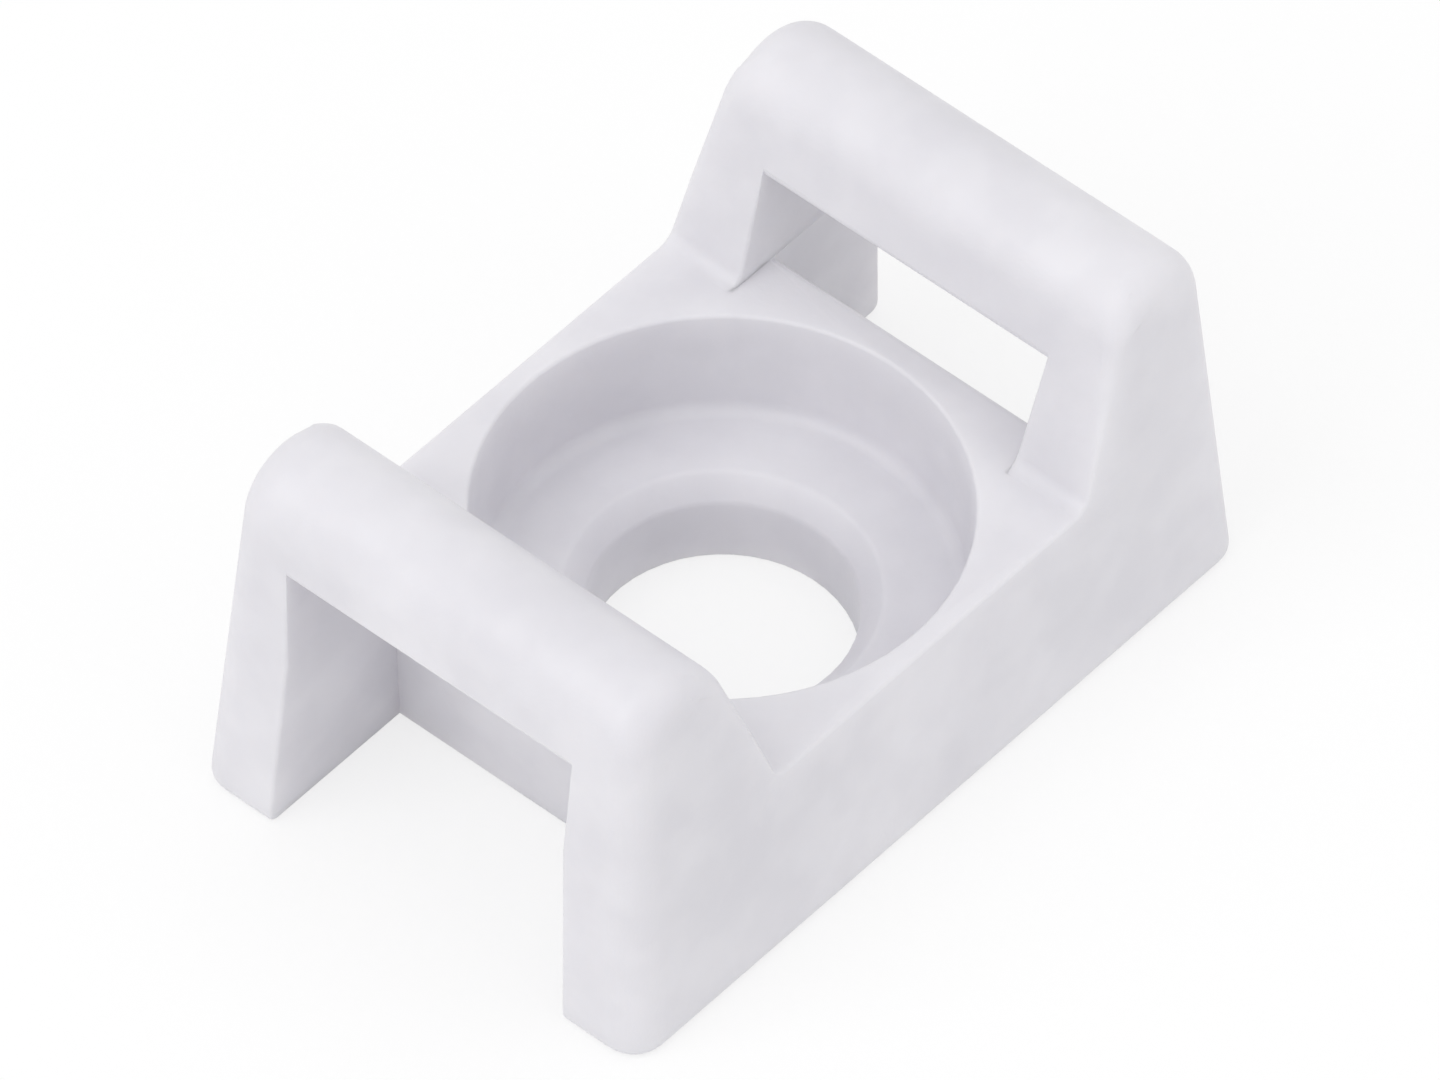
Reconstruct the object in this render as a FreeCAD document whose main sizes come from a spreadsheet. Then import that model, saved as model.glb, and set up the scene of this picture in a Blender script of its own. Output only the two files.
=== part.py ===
"""Screw-down saddle mount for cable ties, moulded in one piece of nylon.

The cable lies along Y in the cradle, between two cross bars at the ends of X.
The tie runs along X: under one bar, over the cradle floor and under the other bar.
The base plane is Z = 0 and the screw hole stands on the Z axis. Lengths are in mm.
"""
import FreeCAD, Part

import math
import os

import Sketcher

NODE = "tie_mount_body"

# The driving dimensions: name, value, meaning. Each is set by itself.
DRIVING = (
    ("base_length", 15.7, "overall length along X at the base"),
    ("base_width", 10.0, "overall width along Y at the base"),
    ("crest_height", 7.8, "top of the bars above the base"),
    ("crest_radius", 1.25, "full round along the top of each bar"),
    ("end_draft", 4.0, "lean of the end faces in degrees"),
    ("side_draft", 4.2, "lean of the long side faces in degrees"),
    ("corner_radius", 0.65, "rounding of the upright corners and of the bars' ends"),
    ("crest_wrap", 20.0, "how far past the top a bar's end keeps its full rounding, in degrees"),
    ("foot_radius", 0.2, "rounding of the lowest outer edges"),
    ("floor_height", 3.95, "cradle floor above the base"),
    ("floor_length", 7.9, "cradle floor between the bars' inner slopes"),
    ("floor_fillet", 0.35, "fillet between floor and inner slope"),
    ("leg_inset", 1.92, "how far a leg's inner face lies inside the base's long side, at the floor"),
    ("passage_draft", 3.0, "lean of the legs' inner faces, opening up and down from the floor"),
    ("passage_height", 6.0, "underside of the bars above the base"),
    ("bar_edge_radius", 0.15, "rounding of the bars' lower edges"),
    ("web_length", 9.1, "centre web along X at the base"),
    ("web_draft", 5.0, "lean of the web's end faces in degrees"),
    ("web_lip_radius", 0.15, "lip that the tie bends over"),
    ("screw_bore", 4.7, "diameter of the screw hole"),
    ("bore_lead_in", 0.4, "chamfer of the screw hole at the seat"),
    ("seat_height", 1.75, "screw head's seat above the base"),
    ("recess_inset", 0.7, "how far the head recess's mouth lies inside the base's long sides"),
    ("recess_draft", 4.0, "lean of the recess wall in degrees"),
    ("recess_fillet", 0.3, "fillet round the seat"),
)

doc = FreeCAD.newDocument("cable_tie_mount")
sizes = doc.addObject("Spreadsheet::Sheet", "sizes")
for row, (name, value, meaning) in enumerate(DRIVING, start=1):
    sizes.set(f"A{row}", name)
    sizes.set(f"B{row}", str(value))
    sizes.set(f"C{row}", meaning)
    sizes.setAlias(f"B{row}", name)
doc.recompute()


def size(name):
    """Return the value of one cell of the sheet."""
    return float(sizes.get(name))


def lean(name):
    """Return the tangent of a draft angle, the lean of its face per unit of height."""
    return math.tan(math.radians(size(name)))


def new_body(label):
    """Add an empty body with a label of its own."""
    body = doc.addObject("PartDesign::Body", label)
    body.Label = label
    return body


def new_sketch(body, plane_role, label):
    """Add a sketch that lies on one of the body's own origin planes."""
    plane = next(item for item in body.Origin.OriginFeatures if item.Role == plane_role)
    sketch = body.newObject("Sketcher::SketchObject", label)
    sketch.AttachmentSupport = [(plane, "")]
    sketch.MapMode = "FlatFace"
    return sketch


def line(sketch, start, end):
    """Draw a straight edge and return its number in the sketch."""
    begin = FreeCAD.Vector(*start, 0)
    finish = FreeCAD.Vector(*end, 0)
    return sketch.addGeometry(Part.LineSegment(begin, finish), False)


def arc(sketch, centre, radius, first_angle, last_angle):
    """Draw an arc, counter-clockwise between two angles in radians, and return its number."""
    circle = Part.Circle(FreeCAD.Vector(*centre, 0), FreeCAD.Vector(0, 0, 1), radius)
    return sketch.addGeometry(Part.ArcOfCircle(circle, first_angle, last_angle), False)


def on_circle(centre, radius, angle):
    """Return the point of a circle at an angle in radians."""
    return (centre[0] + radius * math.cos(angle), centre[1] + radius * math.sin(angle))


def tie(sketch, kind, *places):
    """Add a geometric constraint, such as a tangency or a shared point."""
    sketch.addConstraint(Sketcher.Constraint(kind, *places))


def dimension(sketch, name, kind, places, expression):
    """Add a named dimension and bind it to the sheet.

    The first value only starts the solver: the expression sets the real one.
    """
    sketch.addConstraint(Sketcher.Constraint(kind, *places))
    index = sketch.ConstraintCount - 1
    sketch.renameConstraint(index, name)
    sketch.setExpression(f"Constraints.{name}", expression)


START, END, CENTRE = range(1, 4)
LENGTH_AXIS, HEIGHT_AXIS = range(-1, -3, -1)
ORIGIN = (LENGTH_AXIS, START)

# Two places nearer than this are the same place.
NEAR = 1e-5


def lies_at(place, wanted):
    """Tell whether two distances are the same."""
    return abs(place - wanted) < NEAR


def rounded(body, base, label, wanted, radius_expression):
    """Round the edges of a feature whose middle point passes the test."""
    chosen = [
        f"Edge{number}"
        for number, edge in enumerate(base.Shape.Edges, start=1)
        if wanted(edge.CenterOfMass)
    ]
    fillet = body.newObject("PartDesign::Fillet", label)
    fillet.Base = (base, chosen)
    fillet.setExpression("Radius", radius_expression)
    body.Tip = fillet
    doc.recompute()
    return fillet


def mirrored(body, feature, plane_role):
    """Repeat a feature on the other side of one of the body's origin planes."""
    plane = next(item for item in body.Origin.OriginFeatures if item.Role == plane_role)
    copy = body.newObject("PartDesign::Mirrored", f"{feature.Name}_mirrored")
    copy.Originals = [feature]
    copy.MirrorPlane = (plane, [""])
    body.Tip = copy
    doc.recompute()
    return copy


def half_pad(body, sketch, length_expression, plane_role):
    """Pad half an outline both ways and mirror it into the whole blank."""
    pad = body.newObject("PartDesign::Pad", f"{sketch.Name}_pad")
    pad.Profile = (sketch, [""])
    pad.SideType = "Symmetric"
    pad.setExpression("Length", length_expression)
    doc.recompute()
    return mirrored(body, pad, plane_role)


# Each blank is this much longer than the part, so that the other one trims it.
TRIM = 1.2


def crest_centre():
    """Return the place of the crest's centre, X and Z in the side view."""
    radius = size("crest_radius")
    centre_z = size("crest_height") - radius
    outer_lean = math.radians(size("end_draft"))
    centre_x = size("base_length") / 2 - centre_z * math.tan(outer_lean) - radius / math.cos(outer_lean)
    return centre_x, centre_z


def side_blank():
    """Make the side view before the cradle is cut: drafted ends that round over at the top.

    Past the top each crest runs into a straight slope, and the two meet over the middle.
    """
    body = new_body("side_blank")
    sketch = new_sketch(body, "XZ_Plane", "side_view")
    half_length = size("base_length") / 2
    radius = size("crest_radius")
    centre = crest_centre()
    outer_lean = math.radians(size("end_draft"))
    outer_touch = on_circle(centre, radius, outer_lean)
    wrap = math.radians(size("crest_wrap"))
    wrap_end = on_circle(centre, radius, math.pi / 2 + wrap)
    valley = (0, wrap_end[1] - wrap_end[0] * math.tan(wrap))

    base = line(sketch, (0, 0), (half_length, 0))
    outer = line(sketch, (half_length, 0), outer_touch)
    crest = arc(sketch, centre, radius, outer_lean, math.pi / 2 + wrap)
    top = line(sketch, wrap_end, valley)
    middle = line(sketch, valley, (0, 0))
    tie(sketch, "Coincident", base, START, *ORIGIN)
    tie(sketch, "Coincident", base, END, outer, START)
    tie(sketch, "Tangent", outer, END, crest, START)
    tie(sketch, "Tangent", crest, END, top, START)
    tie(sketch, "Coincident", top, END, middle, START)
    tie(sketch, "Coincident", middle, END, base, START)
    tie(sketch, "Horizontal", base)
    tie(sketch, "Vertical", middle)
    dimension(sketch, "half_length", "DistanceX", (base, START, base, END, half_length),
              "sizes.base_length / 2")
    dimension(sketch, "crest_centre", "DistanceY", (*ORIGIN, crest, CENTRE, centre[1]),
              "sizes.crest_height - sizes.crest_radius")
    dimension(sketch, "crest_radius", "Radius", (crest, radius), "sizes.crest_radius")
    dimension(sketch, "wrap_angle", "Angle", (top, math.pi + wrap), "(180 + sizes.crest_wrap) * 1 deg")
    dimension(sketch, "outer_angle", "Angle", (outer, math.pi / 2 + outer_lean),
              "(90 + sizes.end_draft) * 1 deg")
    half_pad(body, sketch, f"sizes.base_width * {TRIM}", "YZ_Plane")
    return body


def end_blank():
    """Make the end view: a plain outline with drafted sides, which stands clear of the crests."""
    body = new_body("end_blank")
    sketch = new_sketch(body, "YZ_Plane", "end_view")
    half_width = size("base_width") / 2
    height = size("crest_height") * TRIM
    half_top = half_width - height * lean("side_draft")
    side_angle = math.pi / 2 + math.radians(size("side_draft"))

    base = line(sketch, (0, 0), (half_width, 0))
    side = line(sketch, (half_width, 0), (half_top, height))
    top = line(sketch, (half_top, height), (0, height))
    middle = line(sketch, (0, height), (0, 0))
    tie(sketch, "Coincident", base, START, *ORIGIN)
    tie(sketch, "Coincident", base, END, side, START)
    tie(sketch, "Coincident", side, END, top, START)
    tie(sketch, "Coincident", top, END, middle, START)
    tie(sketch, "Coincident", middle, END, base, START)
    tie(sketch, "Horizontal", base)
    tie(sketch, "Horizontal", top)
    tie(sketch, "Vertical", middle)
    dimension(sketch, "half_width", "DistanceX", (base, START, base, END, half_width),
              "sizes.base_width / 2")
    dimension(sketch, "height", "DistanceY", (middle, END, middle, START, height),
              f"sizes.crest_height * {TRIM}")
    dimension(sketch, "side_angle", "Angle", (side, side_angle), "(90 + sizes.side_draft) * 1 deg")
    half_pad(body, sketch, f"sizes.base_length * {TRIM}", "XZ_Plane")
    return body


def shared_body(label, base, tool):
    """Make a body of what two bodies share."""
    shared = doc.addObject("Part::Common", f"{label}_common")
    shared.Base = base
    shared.Tool = tool
    doc.recompute()
    body = new_body(label)
    body.BaseFeature = shared
    doc.recompute()
    return body


def rounded_block():
    """Trim the side view and the end view to each other and round the outer edges.

    One radius goes up each corner, over the bar's end and on past its top.
    The lowest edges, which meet the panel, have a smaller radius of their own.
    """
    body = shared_body(NODE, side_blank(), end_blank())

    # an upright ends where the crest's round begins, and its middle leans inwards
    round_share = 1 - math.sin(math.radians(size("end_draft")))
    upright_top = size("crest_height") - size("crest_radius") * round_share
    upright_x = size("base_length") / 2 - lean("end_draft") * upright_top / 2

    def on_upright(middle_point):
        return lies_at(abs(middle_point.x), upright_x) and abs(middle_point.y) > NEAR

    def on_base(middle_point):
        return lies_at(middle_point.z, 0)

    corners = rounded(body, body.Tip, "corner_rounding", on_upright, "sizes.corner_radius")
    rounded(body, corners, "foot_rounding", on_base, "sizes.foot_radius")
    return body


def cradle(body):
    """Cut the cable's cradle: a level floor, and slopes that round over into the crests."""
    sketch = new_sketch(body, "XZ_Plane", "cradle_view")
    half_floor = size("floor_length") / 2
    floor_height = size("floor_height")
    above = size("crest_height") * TRIM
    radius = size("crest_radius")
    centre = crest_centre()
    start_angle = math.pi / 2 + math.radians(size("crest_wrap"))
    cut_start = on_circle(centre, radius, start_angle)
    cut_top = (cut_start[0] - (above - cut_start[1]) * lean("crest_wrap"), above)
    # the slope is the tangent from the floor's end to the crest's circle
    run = centre[0] - half_floor
    rise = centre[1] - floor_height
    touch_angle = math.atan2(rise, run) + math.asin(radius / math.hypot(rise, run)) + math.pi / 2
    touch = on_circle(centre, radius, touch_angle)

    floor = line(sketch, (0, floor_height), (half_floor, floor_height))
    slope = line(sketch, (half_floor, floor_height), touch)
    crest = arc(sketch, centre, radius, start_angle, touch_angle)
    side = line(sketch, cut_start, cut_top)
    top = line(sketch, cut_top, (0, above))
    middle = line(sketch, (0, above), (0, floor_height))
    tie(sketch, "Coincident", floor, END, slope, START)
    tie(sketch, "Tangent", slope, END, crest, END)
    tie(sketch, "Coincident", crest, START, side, START)
    tie(sketch, "Coincident", side, END, top, START)
    tie(sketch, "Coincident", top, END, middle, START)
    tie(sketch, "Coincident", middle, END, floor, START)
    tie(sketch, "PointOnObject", middle, END, HEIGHT_AXIS)
    for level in (floor, top):
        tie(sketch, "Horizontal", level)
    tie(sketch, "Vertical", middle)
    tie(sketch, "PointOnObject", crest, CENTRE, side)
    dimension(sketch, "half_floor", "DistanceX", (floor, START, floor, END, half_floor),
              "sizes.floor_length / 2")
    dimension(sketch, "floor_height", "DistanceY", (*ORIGIN, floor, START, floor_height),
              "sizes.floor_height")
    dimension(sketch, "above", "DistanceY", (*ORIGIN, middle, START, above),
              f"sizes.crest_height * {TRIM}")
    dimension(sketch, "crest_radius", "Radius", (crest, radius), "sizes.crest_radius")
    dimension(sketch, "side_angle", "Angle", (side, start_angle), "(90 + sizes.crest_wrap) * 1 deg")
    dimension(sketch, "crest_centre", "DistanceY", (*ORIGIN, crest, CENTRE, centre[1]),
              "sizes.crest_height - sizes.crest_radius")
    dimension(sketch, "crest_place", "DistanceX", (*ORIGIN, crest, CENTRE, centre[0]),
              "sizes.base_length / 2 - (sizes.crest_height - sizes.crest_radius)"
              " * tan(sizes.end_draft * 1 deg) - sizes.crest_radius / cos(sizes.end_draft * 1 deg)")
    pocket = body.newObject("PartDesign::Pocket", "cradle_cut")
    pocket.Profile = (sketch, [""])
    pocket.SideType = "Symmetric"
    pocket.setExpression("Length", f"sizes.base_width * {TRIM}")
    body.Tip = pocket
    doc.recompute()
    both = mirrored(body, pocket, "YZ_Plane")

    def at_floor_end(middle_point):
        return lies_at(abs(middle_point.x), half_floor) and lies_at(middle_point.z, floor_height)

    rounded(body, both, "floor_fillet", at_floor_end, "sizes.floor_fillet")


def passage_side():
    """Make the tie's way in side view: under each bar, and down beyond the web."""
    body = new_body("passage_side")
    sketch = new_sketch(body, "XZ_Plane", "passage_view")
    floor_height = size("floor_height")
    passage_height = size("passage_height")
    half_web = size("web_length") / 2
    web_top = half_web + floor_height * lean("web_draft")
    inside = size("floor_length") / 4
    outside = size("base_length") / 2 * TRIM

    web = line(sketch, (half_web, 0), (web_top, floor_height))
    floor = line(sketch, (web_top, floor_height), (inside, floor_height))
    inner = line(sketch, (inside, floor_height), (inside, passage_height))
    ceiling = line(sketch, (inside, passage_height), (outside, passage_height))
    outer = line(sketch, (outside, passage_height), (outside, 0))
    base_line = line(sketch, (outside, 0), (half_web, 0))
    loop = (web, floor, inner, ceiling, outer, base_line)
    for first, second in zip(loop, loop[1:] + loop[:1]):
        tie(sketch, "Coincident", first, END, second, START)
    for level in (floor, ceiling, base_line):
        tie(sketch, "Horizontal", level)
    for upright in (inner, outer):
        tie(sketch, "Vertical", upright)
    tie(sketch, "PointOnObject", web, START, LENGTH_AXIS)
    dimension(sketch, "half_web", "DistanceX", (*ORIGIN, web, START, half_web),
              "sizes.web_length / 2")
    dimension(sketch, "floor_height", "DistanceY", (*ORIGIN, floor, START, floor_height),
              "sizes.floor_height")
    dimension(sketch, "passage_height", "DistanceY", (*ORIGIN, ceiling, START, passage_height),
              "sizes.passage_height")
    dimension(sketch, "web_angle", "Angle", (web, math.pi / 2 - math.radians(size("web_draft"))),
              "(90 - sizes.web_draft) * 1 deg")
    dimension(sketch, "inside", "DistanceX", (*ORIGIN, inner, START, inside),
              "sizes.floor_length / 4")
    dimension(sketch, "outside", "DistanceX", (*ORIGIN, outer, START, outside),
              f"sizes.base_length / 2 * {TRIM}")
    half_pad(body, sketch, "sizes.base_width", "YZ_Plane")
    return body


def passage_end():
    """Make the tie's way in end view: narrowest at the floor, where the mould halves meet."""
    body = new_body("passage_end")
    sketch = new_sketch(body, "YZ_Plane", "leg_view")
    floor_height = size("floor_height")
    top_height = size("crest_height")
    half_width = size("base_width") / 2 - size("leg_inset")
    foot = half_width + floor_height * lean("passage_draft")
    head = half_width + (top_height - floor_height) * lean("passage_draft")
    draft = math.radians(size("passage_draft"))

    base = line(sketch, (0, 0), (foot, 0))
    lower = line(sketch, (foot, 0), (half_width, floor_height))
    upper = line(sketch, (half_width, floor_height), (head, top_height))
    top = line(sketch, (head, top_height), (0, top_height))
    middle = line(sketch, (0, top_height), (0, 0))
    loop = (base, lower, upper, top, middle)
    for first, second in zip(loop, loop[1:] + loop[:1]):
        tie(sketch, "Coincident", first, END, second, START)
    tie(sketch, "Coincident", middle, END, *ORIGIN)
    for level in (base, top):
        tie(sketch, "Horizontal", level)
    tie(sketch, "Vertical", middle)
    dimension(sketch, "half_width", "DistanceX", (*ORIGIN, upper, START, half_width),
              "sizes.base_width / 2 - sizes.leg_inset")
    dimension(sketch, "floor_height", "DistanceY", (*ORIGIN, upper, START, floor_height),
              "sizes.floor_height")
    dimension(sketch, "top_height", "DistanceY", (*ORIGIN, top, END, top_height),
              "sizes.crest_height")
    dimension(sketch, "lower_angle", "Angle", (lower, math.pi / 2 + draft),
              "(90 + sizes.passage_draft) * 1 deg")
    dimension(sketch, "upper_angle", "Angle", (upper, math.pi / 2 - draft),
              "(90 - sizes.passage_draft) * 1 deg")
    half_pad(body, sketch, f"sizes.base_length * {TRIM}", "XZ_Plane")
    return body


def tie_passages(body):
    """Cut the way for the tie through the block, and break the edges that it bends over."""
    core = shared_body("passage_core", passage_side(), passage_end())
    both = body.newObject("PartDesign::Boolean", "tie_passages")
    both.Type = "Cut"
    both.setObjects([core])
    body.Tip = both
    doc.recompute()
    floor_height = size("floor_height")
    passage_height = size("passage_height")
    web_top = size("web_length") / 2 + floor_height * lean("web_draft")

    def on_lip(middle_point):
        return lies_at(abs(middle_point.x), web_top) and lies_at(middle_point.z, floor_height)

    def under_bar(middle_point):
        return lies_at(middle_point.z, passage_height) and lies_at(middle_point.y, 0)

    lips = rounded(body, both, "web_lip", on_lip, "sizes.web_lip_radius")
    rounded(body, lips, "bar_edges", under_bar, "sizes.bar_edge_radius")


def screw_recess(body):
    """Turn the screw hole, the flat seat for its head and the recess above the seat."""
    sketch = new_sketch(body, "XZ_Plane", "recess_view")
    floor_height = size("floor_height")
    seat = size("seat_height")
    bore = size("screw_bore") / 2
    lead_in = size("bore_lead_in")
    mouth = size("base_width") / 2 - size("recess_inset")
    wall_lean = math.radians(size("recess_draft"))
    fillet = size("recess_fillet")
    # the fillet touches the seat and the drafted wall
    wall_foot = mouth - (floor_height - seat) * math.tan(wall_lean)
    centre_x = wall_foot + fillet * (math.tan(wall_lean) - 1 / math.cos(wall_lean))
    centre_z = seat + fillet

    axis = line(sketch, (0, floor_height), (0, 0))
    bottom = line(sketch, (0, 0), (bore, 0))
    hole = line(sketch, (bore, 0), (bore, seat - lead_in))
    chamfer = line(sketch, (bore, seat - lead_in), (bore + lead_in, seat))
    ledge = line(sketch, (bore + lead_in, seat), (centre_x, seat))
    corner = arc(sketch, (centre_x, centre_z), fillet, -math.pi / 2, -wall_lean)
    corner_end = on_circle((centre_x, centre_z), fillet, -wall_lean)
    wall = line(sketch, corner_end, (mouth, floor_height))
    top = line(sketch, (mouth, floor_height), (0, floor_height))
    tie(sketch, "Coincident", axis, END, *ORIGIN)
    tie(sketch, "Coincident", bottom, START, axis, END)
    tie(sketch, "Coincident", bottom, END, hole, START)
    tie(sketch, "Coincident", hole, END, chamfer, START)
    tie(sketch, "Coincident", chamfer, END, ledge, START)
    tie(sketch, "Tangent", ledge, END, corner, START)
    tie(sketch, "Tangent", corner, END, wall, START)
    tie(sketch, "Coincident", wall, END, top, START)
    tie(sketch, "Coincident", top, END, axis, START)
    for level in (bottom, ledge, top):
        tie(sketch, "Horizontal", level)
    for upright in (axis, hole):
        tie(sketch, "Vertical", upright)
    dimension(sketch, "floor_height", "DistanceY", (*ORIGIN, top, END, floor_height),
              "sizes.floor_height")
    dimension(sketch, "bore", "DistanceX", (*ORIGIN, hole, START, bore), "sizes.screw_bore / 2")
    dimension(sketch, "seat", "DistanceY", (*ORIGIN, ledge, START, seat), "sizes.seat_height")
    dimension(sketch, "lead_in", "DistanceX", (hole, END, chamfer, END, lead_in),
              "sizes.bore_lead_in")
    dimension(sketch, "lead_in_rise", "DistanceY", (hole, END, chamfer, END, lead_in),
              "sizes.bore_lead_in")
    dimension(sketch, "mouth", "DistanceX", (*ORIGIN, top, START, mouth),
              "sizes.base_width / 2 - sizes.recess_inset")
    dimension(sketch, "fillet", "Radius", (corner, fillet), "sizes.recess_fillet")
    dimension(sketch, "wall_angle", "Angle", (wall, math.pi / 2 - wall_lean),
              "(90 - sizes.recess_draft) * 1 deg")
    groove = body.newObject("PartDesign::Groove", "screw_recess")
    groove.Profile = (sketch, [""])
    groove.ReferenceAxis = (sketch, ["V_Axis"])
    groove.Angle = 360
    body.Tip = groove
    doc.recompute()


def cut_away(body, cut):
    """Make a cut in the body, and stop if it took nothing away."""
    before = body.Shape.Volume
    cut(body)
    if body.Shape.Volume >= before:
        raise RuntimeError(f"{cut.__name__} took nothing away")


def check(body):
    """Stop unless every object is up to date and the body is one sound solid."""
    for item in doc.Objects:
        if {"Invalid", "Error"} & set(item.State):
            raise RuntimeError(f"{item.Label} could not be built")
    shape = body.Shape
    if shape.isNull() or not shape.isValid() or len(shape.Solids) != 1:
        raise RuntimeError(f"{body.Label} is not one sound solid")


mount = rounded_block()
cut_away(mount, cradle)
cut_away(mount, tie_passages)
cut_away(mount, screw_recess)
check(mount)
os.makedirs("parts", exist_ok=True)
mount.Shape.exportStep(f"parts/{NODE}.step")
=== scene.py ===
"""A saddle mount for cable ties in natural nylon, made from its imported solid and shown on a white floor.

The cable would lie along Y between two round-topped bars, and the tie runs along X under both.
Lengths are written in millimetres and turned into the frame's metres by MM. The mount is one
moulding, so it is one piece: a joined copy of the CAD node's mesh, with softer edges and bar ends
and a nylon finish, which stands for the node.
"""

from __future__ import annotations

import logging
import math
from dataclasses import dataclass, field
from enum import Enum
from typing import Any, Mapping, Union

import bmesh
import bpy
import numpy as np
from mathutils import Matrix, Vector


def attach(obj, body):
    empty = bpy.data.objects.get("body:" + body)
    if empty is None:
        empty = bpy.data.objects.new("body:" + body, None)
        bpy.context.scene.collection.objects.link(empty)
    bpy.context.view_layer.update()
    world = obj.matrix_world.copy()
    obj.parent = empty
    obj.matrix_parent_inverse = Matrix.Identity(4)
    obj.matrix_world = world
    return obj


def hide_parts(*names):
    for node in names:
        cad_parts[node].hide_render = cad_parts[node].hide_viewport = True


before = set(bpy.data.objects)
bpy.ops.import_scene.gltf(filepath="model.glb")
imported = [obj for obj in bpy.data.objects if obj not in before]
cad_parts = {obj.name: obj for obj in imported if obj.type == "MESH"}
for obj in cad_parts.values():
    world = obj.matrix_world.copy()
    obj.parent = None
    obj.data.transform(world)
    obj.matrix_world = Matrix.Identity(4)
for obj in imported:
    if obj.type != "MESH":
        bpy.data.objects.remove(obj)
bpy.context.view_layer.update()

LOG = logging.getLogger("tie_mount")
MM = 0.001
NODE = "tie_mount_body"
PIECE = "nylon_mount"
WHITE = (1.0, 1.0, 1.0)

Colour = tuple[float, float, float]
Number = Union[float, "Signal"]


class Signal:
    """A number that varies over a surface: the output socket of a shader node, with arithmetic."""

    def __init__(self, graph: "Graph", socket: bpy.types.NodeSocket) -> None:
        """Wrap one output socket.

        Args:
            graph: the material's graph, which adds the Math nodes.
            socket: the output that carries the number.
        """
        self.graph = graph
        self.socket = socket

    def _with(self, operation: str, *terms: Number) -> "Signal":
        """Feed the terms to a Math node.

        Args:
            operation: the Math node's operation.
            terms: the numbers or signals of its inputs, in order.

        Returns:
            The result as a new signal.
        """
        return self.graph.node("ShaderNodeMath", {"operation": operation}, dict(enumerate(terms)))

    def __add__(self, other: Number) -> "Signal":
        """Add a number or a signal."""
        return self._with("ADD", self, other)

    def __sub__(self, other: Number) -> "Signal":
        """Take away a number or a signal."""
        return self._with("SUBTRACT", self, other)

    def __rsub__(self, other: Number) -> "Signal":
        """Take this signal from a number."""
        return self._with("SUBTRACT", other, self)

    def __mul__(self, other: Number) -> "Signal":
        """Multiply by a number or a signal."""
        return self._with("MULTIPLY", self, other)

    __radd__ = __add__
    __rmul__ = __mul__

    def between(self, low: float, high: float) -> "Signal":
        """Stretch the range from low to high onto 0 to 1, smoothly at both ends.

        Args:
            low: the value that becomes 0.
            high: the value that becomes 1.

        Returns:
            The stretched signal.
        """
        settings = {"interpolation_type": "SMOOTHSTEP"}
        inputs = {"Value": self, "From Min": low, "From Max": high}
        return self.graph.node("ShaderNodeMapRange", settings, inputs)


class Graph:
    """The node tree of one material or world, filled by a single method."""

    def __init__(self, tree: bpy.types.NodeTree) -> None:
        """Empty the tree.

        Args:
            tree: the node tree to fill.
        """
        self.tree = tree
        tree.nodes.clear()

    def node(
        self,
        kind: str,
        settings: Mapping[str, Any] | None = None,
        inputs: Mapping[Union[str, int], Any] | None = None,
        output: Union[str, int] = 0,
    ) -> Signal:
        """Add a node, set it up and link its inputs.

        Args:
            kind: the node's type name.
            settings: the node's own properties, which are set first.
            inputs: a value or a signal for each input, by name or number.
            output: the output that the returned signal carries.

        Returns:
            The chosen output as a signal. A node that ends the tree has no output, and gives its
            first input instead.
        """
        made = self.tree.nodes.new(kind)
        for name, value in (settings or {}).items():
            setattr(made, name, value)
        for key, value in (inputs or {}).items():
            if isinstance(value, Signal):
                self.tree.links.new(value.socket, made.inputs[key])
            else:
                made.inputs[key].default_value = value
        return Signal(self, made.outputs[output] if len(made.outputs) else made.inputs[0])

    def mix(self, share: Number, first: Any, second: Any) -> Signal:
        """Blend two colours.

        Args:
            share: how much of the second colour shows, 0 to 1.
            first: the colour at 0, as four numbers or a signal.
            second: the colour at 1.

        Returns:
            The blended colour.
        """
        inputs = {0: share, 6: first, 7: second}
        return self.node("ShaderNodeMix", {"data_type": "RGBA"}, inputs, 2)


def opaque(colour: Colour) -> tuple[float, float, float, float]:
    """Return a colour with full alpha."""
    return (*colour, 1.0)


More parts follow.
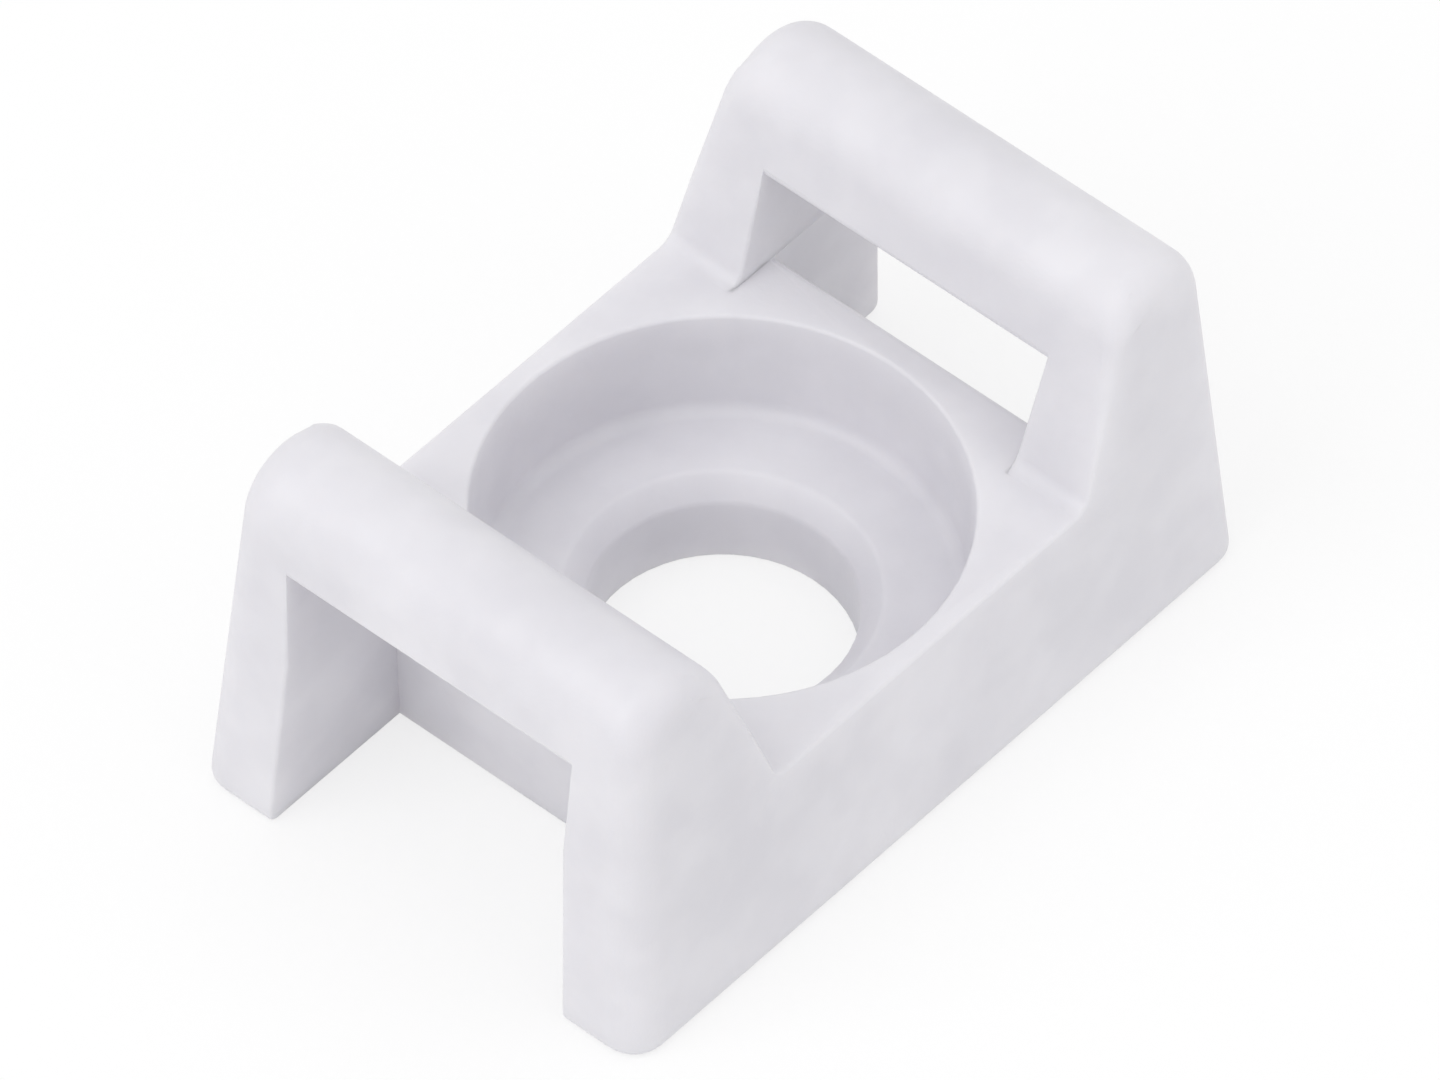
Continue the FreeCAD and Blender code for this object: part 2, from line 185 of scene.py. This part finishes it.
@dataclass(frozen=True)
class NaturalNylon:
    """Undyed nylon as it comes from the mould: milky, a little see-through and softly matt.

    Wide clouds and narrower flow marks darken it from the milk colour to the depth colour. The flow
    marks and the mould's fine grain vary the roughness and stand up as a faint relief.
    """

    milk: Colour = (0.775, 0.765, 0.80)
    depth: Colour = (0.70, 0.69, 0.73)
    cloud_mm: float = 3.2
    cloud_range: tuple[float, float] = (0.3, 0.7)
    cloud_share: float = 0.7
    flow_mm: float = 1.1
    flow_range: tuple[float, float] = (0.35, 0.65)
    flow_share: float = 0.3
    grain_mm: float = 0.09
    roughness: float = 0.42
    flow_roughness: float = 0.18
    grain_roughness: float = 0.10
    relief_grain: float = 0.7
    relief_flow: float = 0.3
    relief_mm: float = 0.012
    relief_strength: float = 0.35
    scatter_share: float = 0.35
    scatter_reach_mm: float = 0.9
    scatter_by_colour: Colour = (1.0, 0.95, 0.9)
    ior: float = 1.53

    def noise(self, graph: Graph, place: Signal, feature_mm: float, detail: float) -> Signal:
        """Add a noise pattern.

        Args:
            graph: the material's graph.
            place: the coordinates that it reads.
            feature_mm: the width of one blotch in millimetres.
            detail: how many finer layers are added.

        Returns:
            The pattern, about 0 to 1.
        """
        inputs = {"Vector": place, "Scale": 1 / (feature_mm * MM), "Detail": detail}
        return graph.node("ShaderNodeTexNoise", {}, inputs)

    def material(self) -> bpy.types.Material:
        """Build the finish.

        Returns:
            The material, with its patterns on Object coordinates.
        """
        made = bpy.data.materials.new("natural_nylon")
        made.use_nodes = True
        graph = Graph(made.node_tree)
        place = graph.node("ShaderNodeTexCoord", output="Object")
        clouds = self.noise(graph, place, self.cloud_mm, 2.0)
        flow = self.noise(graph, place, self.flow_mm, 3.0)
        grain = self.noise(graph, place, self.grain_mm, 2.0)
        clouded = clouds.between(*self.cloud_range) * self.cloud_share
        tone = clouded + flow.between(*self.flow_range) * self.flow_share
        colour = graph.mix(tone, opaque(self.milk), opaque(self.depth))
        uneven = (flow - 0.5) * self.flow_roughness + (grain - 0.5) * self.grain_roughness
        relief = grain * self.relief_grain + flow * self.relief_flow
        bump = graph.node("ShaderNodeBump", {}, {
            "Strength": self.relief_strength,
            "Distance": self.relief_mm * MM,
            "Height": relief,
        })
        shader = graph.node(
            "ShaderNodeBsdfPrincipled",
            {"subsurface_method": "RANDOM_WALK"},
            {
                "Base Color": colour,
                "Roughness": uneven + self.roughness,
                "IOR": self.ior,
                "Subsurface Weight": self.scatter_share,
                "Subsurface Radius": self.scatter_by_colour,
                "Subsurface Scale": self.scatter_reach_mm * MM,
                "Normal": bump,
            },
        )
        graph.node("ShaderNodeOutputMaterial", {}, {"Surface": shader})
        return made


@dataclass(frozen=True)
class BarEnds:
    """The rounding of the four bar ends, worked out from the mount's side view and its long sides.

    In side view each bar is a wedge with a round top: up the drafted end, over the crest's arc and
    down the cradle's slope. The edge between this outline and the long side has one radius up the
    outer corner and over the top. Past the top it narrows, down to the plain edge at the floor.
    """

    half_length_mm: float = 7.85
    half_width_mm: float = 5.0
    crest_height_mm: float = 7.8
    crest_radius_mm: float = 1.25
    end_draft_deg: float = 4.0
    side_draft_deg: float = 4.2
    wrap_deg: float = 20.0
    floor_height_mm: float = 3.95
    floor_half_length_mm: float = 3.95
    corner_radius_mm: float = 0.65
    shoulder_radius_mm: float = 0.34
    slope_radius_mm: float = 0.14
    edge_radius_mm: float = 0.07
    floor_margin_mm: float = 0.2
    facet_depth_mm: float = 0.014
    shortest_offset_mm: float = 0.007

    @property
    def foot_height_mm(self) -> float:
        """Return the height at which the slope's edge begins to widen."""
        return self.floor_height_mm + self.floor_margin_mm

    def crest_centre(self) -> tuple[float, float]:
        """Return the crest arc's centre, outwards from the middle and up from the base."""
        draft = math.radians(self.end_draft_deg)
        up = self.crest_height_mm - self.crest_radius_mm
        out = self.half_length_mm - up * math.tan(draft) - self.crest_radius_mm / math.cos(draft)
        return out, up

    def slope_facing(self) -> float:
        """Return the angle that the cradle's slope faces, as the tangent from the floor to the arc."""
        out, up = self.crest_centre()
        run, rise = out - self.floor_half_length_mm, up - self.floor_height_mm
        reach = math.hypot(run, rise)
        return math.atan2(rise, run) + math.asin(self.crest_radius_mm / reach) + math.pi / 2

    def outline(self, places: np.ndarray) -> tuple[np.ndarray, np.ndarray, np.ndarray]:
        """Measure points against the bar's side view.

        The outline is the set of tangents to the crest's circle whose facing angle lies between the
        end's and the slope's. A point's facing angle is its own angle round the crest's centre, held
        to that range, and its depth is the radius less its distance out along that facing.

        Args:
            places: the points in millimetres, one per row.

        Returns:
            The depth under the outline, the outward facing as unit vectors, and the facing angle.
        """
        out, up = self.crest_centre()
        side = np.where(places[:, 0] < 0, -1.0, 1.0)
        dx, dz = np.abs(places[:, 0]) - out, places[:, 2] - up
        angle = np.arctan2(dz, dx)
        angle = np.where(angle < -math.pi / 2, angle + 2 * math.pi, angle)
        angle = np.clip(angle, math.radians(self.end_draft_deg), self.slope_facing())
        facing = np.stack((side * np.cos(angle), np.zeros_like(angle), np.sin(angle)), axis=1)
        depth = self.crest_radius_mm - dx * np.cos(angle) - dz * np.sin(angle)
        return depth, facing, angle

    def long_side(self, places: np.ndarray) -> tuple[np.ndarray, np.ndarray]:
        """Measure points against the nearer long side, a plane that leans inwards by its draft.

        Args:
            places: the points in millimetres, one per row.

        Returns:
            The depth under the plane, and its outward facing as unit vectors.
        """
        draft = math.radians(self.side_draft_deg)
        side = np.where(places[:, 1] < 0, -1.0, 1.0)
        reach = self.half_width_mm - places[:, 2] * math.tan(draft) - np.abs(places[:, 1])
        level, up = np.zeros_like(side), np.full_like(side, math.sin(draft))
        facing = np.stack((level, side * math.cos(draft), up), axis=1)
        return reach * math.cos(draft), facing

    def radius(self, places: np.ndarray, angle: np.ndarray) -> np.ndarray:
        """Give the edge's radius at each point.

        It is whole as far as the wrap's end past the top, and then falls with the height: to the
        shoulder where the slope begins, and on to the plain edge just above the floor.

        Args:
            places: the points in millimetres, one per row.
            angle: the outline's facing angle at each point.

        Returns:
            The radius in millimetres.
        """
        wrap_end = math.pi / 2 + math.radians(self.wrap_deg)
        centre_up = self.crest_centre()[1]
        heights = (
            self.foot_height_mm,
            self.crest_height_mm - 2 * self.crest_radius_mm,
            centre_up + self.crest_radius_mm * math.sin(self.slope_facing()),
            centre_up + self.crest_radius_mm * math.sin(wrap_end),
        )
        radii = (
            self.edge_radius_mm,
            self.slope_radius_mm,
            self.shoulder_radius_mm,
            self.corner_radius_mm,
        )
        falling = np.interp(places[:, 2], heights, radii)
        return np.where(angle <= wrap_end, self.corner_radius_mm, falling)

    def corner(self, places: np.ndarray) -> tuple[np.ndarray, np.ndarray, np.ndarray]:
        """Measure points from the rounding's centre line, which lies one radius under both surfaces.

        With A and B the distances along the two facings, and c their cosine, the offset in the plane
        of the facings is ((A - cB) outline + (B - cA) side) / (1 - c squared).

        Args:
            places: the points in millimetres, one per row.

        Returns:
            The offset vectors, the radius, and the lesser of A and B.
        """
        depth, out_facing, angle = self.outline(places)
        side_depth, side_facing = self.long_side(places)
        radius = self.radius(places, angle)
        a, b = radius - depth, radius - side_depth
        cosine = np.sum(out_facing * side_facing, axis=1)
        along_outline = ((a - cosine * b) / (1 - cosine**2))[:, None] * out_facing
        along_side = ((b - cosine * a) / (1 - cosine**2))[:, None] * side_facing
        return along_outline + along_side, radius, np.minimum(a, b)

    def near(self, places: np.ndarray, margin_mm: float) -> np.ndarray:
        """Tell which points lie in the rounding or within a margin of it.

        Args:
            places: the points in millimetres, one per row.
            margin_mm: how far beyond the rounding still counts.

        Returns:
            True for each point that does.
        """
        within = self.corner(places)[2] > -margin_mm
        return within & (places[:, 2] > self.foot_height_mm)

    def rounded(self, places: np.ndarray) -> np.ndarray:
        """Bring the points of the bars' ends onto the rounding, and the crests' onto their true arc.

        A point that stands out of the rounding moves straight towards its centre line until it is
        one radius away: its offset grows by radius / length - 1. A point of a facet on the crest
        moves out by its depth, onto the arc. Points on a facet of a rounding count as standing out.

        Args:
            places: the points in millimetres, one per row.

        Returns:
            The points in their new places.
        """
        depth, facing, angle = self.outline(places)
        above = places[:, 2] > self.foot_height_mm
        on_arc = (angle > math.radians(self.end_draft_deg)) & (angle < self.slope_facing())
        facet = above & on_arc & (depth > 0) & (depth < self.facet_depth_mm)
        placed = places + np.where(facet, depth, 0.0)[:, None] * facing
        offset, radius, inside = self.corner(placed)
        length = np.maximum(np.linalg.norm(offset, axis=1), self.shortest_offset_mm)
        stands_out = above & (inside > 0) & (length > radius - self.facet_depth_mm)
        pull = np.where(stands_out, radius / length - 1, 0.0)
        return placed + pull[:, None] * offset


@dataclass
class MountBody:
    """The moulding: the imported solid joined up, with its outer edges and bar ends softly rounded."""

    node: str = NODE
    join_mm: float = 0.0005
    flat_deg: float = 0.5
    sharp_deg: float = 28.0
    edge_break_mm: float = 0.07
    segments: int = 3
    facet_mm: float = 0.11
    looks_per_edge: int = 9
    halvings: int = 6
    ends: BarEnds = field(default_factory=BarEnds)
    finish: NaturalNylon = field(default_factory=NaturalNylon)

    def joined(self) -> bmesh.types.BMesh:
        """Copy the solid's loose triangles, join them and let what lies in one plane be one face.

        Returns:
            The closed form, with its faces pointing outwards as the solid's do.
        """
        form = bmesh.new()
        form.from_mesh(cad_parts[self.node].data)
        bmesh.ops.remove_doubles(form, verts=form.verts, dist=self.join_mm * MM)
        bmesh.ops.dissolve_limit(
            form, angle_limit=math.radians(self.flat_deg), verts=form.verts, edges=form.edges
        )
        return form

    def break_edges(self, form: bmesh.types.BMesh) -> int:
        """Round each sharp edge that stands out. Inner corners stay as the solid has them.

        Args:
            form: the closed form.

        Returns:
            How many edges were rounded.
        """
        limit = math.radians(self.sharp_deg)
        sharp = [edge for edge in form.edges if edge.is_convex and edge.calc_face_angle(0.0) > limit]
        bmesh.ops.bevel(
            form,
            geom=sharp,
            offset=self.edge_break_mm * MM,
            offset_type="OFFSET",
            segments=self.segments,
            profile=0.5,
            affect="EDGES",
            clamp_overlap=False,
            miter_inner="SHARP",
        )
        return len(sharp)

    def long_edges(self, form: bmesh.types.BMesh) -> list[bmesh.types.BMEdge]:
        """Find the edges at the bar ends that are too long to follow the rounding.

        Args:
            form: the closed form.

        Returns:
            The edges that are longer than a facet and reach into the rounding.
        """
        edges = list(form.edges)
        places = np.array([[vert.co[:] for vert in edge.verts] for edge in edges]) / MM
        first, way = places[:, 0], places[:, 1] - places[:, 0]
        reached = np.zeros(len(edges), bool)
        for share in np.linspace(0.0, 1.0, self.looks_per_edge):
            reached |= self.ends.near(first + share * way, self.facet_mm)
        too_long = np.linalg.norm(way, axis=1) > self.facet_mm
        return [edges[number] for number in np.flatnonzero(reached & too_long)]

    def refine_ends(self, form: bmesh.types.BMesh) -> None:
        """Halve the long edges at the bar ends, over and over, so that small facets follow the rounding.

        The form is first cut level where the rounding begins to widen, so that nothing below changes.

        Args:
            form: the closed form.
        """
        level = Vector((0.0, 0.0, self.ends.foot_height_mm * MM))
        upwards = Vector((0.0, 0.0, 1.0))
        geometry = form.verts[:] + form.edges[:] + form.faces[:]
        bmesh.ops.bisect_plane(form, geom=geometry, plane_co=level, plane_no=upwards)
        for _ in range(self.halvings):
            bmesh.ops.subdivide_edges(form, edges=self.long_edges(form), cuts=1)
            many = [face for face in form.faces if len(face.verts) > 3]
            bmesh.ops.triangulate(form, faces=many)

    def round_ends(self, mesh: bpy.types.Mesh) -> None:
        """Move the mesh's points onto the bar ends' rounding, as one array.

        Args:
            mesh: the mesh, with small facets at the bar ends.
        """
        flat = np.empty(3 * len(mesh.vertices))
        mesh.vertices.foreach_get("co", flat)
        moved = self.ends.rounded(flat.reshape(-1, 3) / MM) * MM
        mesh.vertices.foreach_set("co", moved.ravel())
        mesh.update()

    def build(self) -> bpy.types.Object:
        """Make the moulding in the solid's place.

        Returns:
            The new piece, which stands for the CAD node.
        """
        form = self.joined()
        count = self.break_edges(form)
        self.refine_ends(form)
        mesh = bpy.data.meshes.new(PIECE)
        form.to_mesh(mesh)
        form.free()
        self.round_ends(mesh)
        mesh.shade_smooth()
        mesh.set_sharp_from_angle(angle=math.radians(self.sharp_deg))
        mesh.materials.append(self.finish.material())
        piece = bpy.data.objects.new(PIECE, mesh)
        bpy.context.scene.collection.objects.link(piece)
        even = piece.modifiers.new("even_shading", "WEIGHTED_NORMAL")
        even.keep_sharp = True
        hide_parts(self.node)
        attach(piece, "root")
        LOG.info("made %s, %d faces, %d broken edges", piece.name, len(mesh.polygons), count)
        return piece


class Surround(Enum):
    """How bright the surround is for the rays that show it and for those that light the object."""

    SEEN = 1.0
    LIT = 0.78


@dataclass(frozen=True)
class Softbox:
    """A square softbox that faces the object."""

    name: str
    azimuth_deg: float
    elevation_deg: float
    reach_mm: float
    span_mm: float
    watts: float

    def hang(self) -> bpy.types.Object:
        """Hang the lamp.

        Returns:
            The lamp's object, at its distance from the object and turned towards it.
        """
        lamp = bpy.data.lights.new(self.name, "AREA")
        lamp.size = self.span_mm * MM
        lamp.energy = self.watts
        piece = bpy.data.objects.new(self.name, lamp)
        back = direction(self.azimuth_deg, self.elevation_deg)
        piece.location = back * self.reach_mm * MM
        piece.rotation_euler = (-back).to_track_quat("-Z", "Y").to_euler()
        bpy.context.scene.collection.objects.link(piece)
        return piece


@dataclass
class Studio:
    """A white floor that keeps a soft shadow, three softboxes and the camera."""

    floor_span_mm: float = 900.0
    floor_colour: Colour = (0.95, 0.95, 0.95)
    shadow_share: float = 0.3
    azimuth_deg: float = -48.71
    elevation_deg: float = 48.52
    distance_mm: float = 412.2
    pixels_per_mm: float = 59.12
    image_width_pixels: float = 1440.0
    sensor_width_mm: float = 36.0
    nearest_mm: float = 10.0
    farthest_mm: float = 5000.0
    aim_mm: tuple[float, float, float] = (-0.026, 0.029, 3.07)
    softboxes: tuple[Softbox, ...] = (
        Softbox("key_softbox", -105.0, 50.0, 300.0, 220.0, 0.24),
        Softbox("fill_softbox", 10.0, 35.0, 330.0, 260.0, 0.08),
        Softbox("top_softbox", 90.0, 78.0, 320.0, 240.0, 0.08),
    )

    def seen_rays(self, graph: Graph) -> Signal:
        """Return 1 for the rays that show the background: seen, mirrored or passed through."""
        seen, mirrored, passed = (
            graph.node("ShaderNodeLightPath", output=name)
            for name in ("Is Camera Ray", "Is Glossy Ray", "Is Transmission Ray")
        )
        return (seen + mirrored + passed).between(0.0, 1.0)

    def world(self) -> None:
        """Make the surround: plain white where it is seen, and a little dimmer where it lights."""
        made = bpy.data.worlds.new("surround")
        made.use_nodes = True
        graph = Graph(made.node_tree)
        seen = self.seen_rays(graph)
        strength = seen * (Surround.SEEN.value - Surround.LIT.value) + Surround.LIT.value
        shade = graph.node("ShaderNodeBackground", {}, {"Color": opaque(WHITE), "Strength": strength})
        graph.node("ShaderNodeOutputWorld", {}, {"Surface": shade})
        bpy.context.scene.world = made

    def floor(self) -> bpy.types.Object:
        """Make the floor: a wide square that glows white to the eye and keeps a share of its shadow.

        From below it is clear, so that a view of the underside isn't blocked.

        Returns:
            The floor.
        """
        half = self.floor_span_mm * MM / 2
        corners = half * np.array([(-1, -1, 0), (1, -1, 0), (1, 1, 0), (-1, 1, 0)], float)
        mesh = bpy.data.meshes.new("floor")
        mesh.from_pydata(corners.tolist(), [], [(0, 1, 2, 3)])
        made = bpy.data.materials.new("floor_paper")
        made.use_nodes = True
        graph = Graph(made.node_tree)
        paper = graph.node("ShaderNodeBsdfDiffuse", {}, {"Color": opaque(self.floor_colour)})
        glow = graph.node("ShaderNodeEmission", {}, {"Color": opaque(WHITE), "Strength": 1.0})
        share = self.seen_rays(graph) * (1 - self.shadow_share)
        front = graph.node("ShaderNodeMixShader", {}, {0: share, 1: paper, 2: glow})
        below = graph.node("ShaderNodeNewGeometry", output="Backfacing")
        clear = graph.node("ShaderNodeBsdfTransparent")
        both = graph.node("ShaderNodeMixShader", {}, {0: below, 1: front, 2: clear})
        graph.node("ShaderNodeOutputMaterial", {}, {"Surface": both})
        mesh.materials.append(made)
        piece = bpy.data.objects.new("floor", mesh)
        bpy.context.scene.collection.objects.link(piece)
        return piece

    def camera(self) -> None:
        """Place the camera at the photograph's angle: far off, with a long lens."""
        image_width_mm = self.image_width_pixels / self.pixels_per_mm
        lens = bpy.data.cameras.new("camera")
        lens.sensor_width = self.sensor_width_mm
        lens.lens = self.sensor_width_mm * self.distance_mm / image_width_mm
        lens.clip_start = self.nearest_mm * MM
        lens.clip_end = self.farthest_mm * MM
        piece = bpy.data.objects.new("camera", lens)
        back = direction(self.azimuth_deg, self.elevation_deg)
        piece.location = (Vector(self.aim_mm) + back * self.distance_mm) * MM
        piece.rotation_euler = (-back).to_track_quat("-Z", "Y").to_euler()
        bpy.context.scene.collection.objects.link(piece)
        bpy.context.scene.camera = piece

    def build(self) -> None:
        """Set the whole stage."""
        self.world()
        self.floor()
        for softbox in self.softboxes:
            softbox.hang()
        self.camera()


def direction(azimuth_deg: float, elevation_deg: float) -> Vector:
    """Point from the object to a place around it.

    Args:
        azimuth_deg: 0 is -Y, and -90 is -X.
        elevation_deg: the angle above the floor.

    Returns:
        The unit vector.
    """
    side, up = math.radians(azimuth_deg), math.radians(elevation_deg)
    return Vector((math.sin(side) * math.cos(up), -math.cos(side) * math.cos(up), math.sin(up)))


def main() -> None:
    """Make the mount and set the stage."""
    logging.basicConfig(level=logging.INFO, format="%(name)s: %(message)s")
    MountBody().build()
    Studio().build()
    bpy.context.scene.view_settings.view_transform = "Standard"


if __name__ == "__main__":
    main()
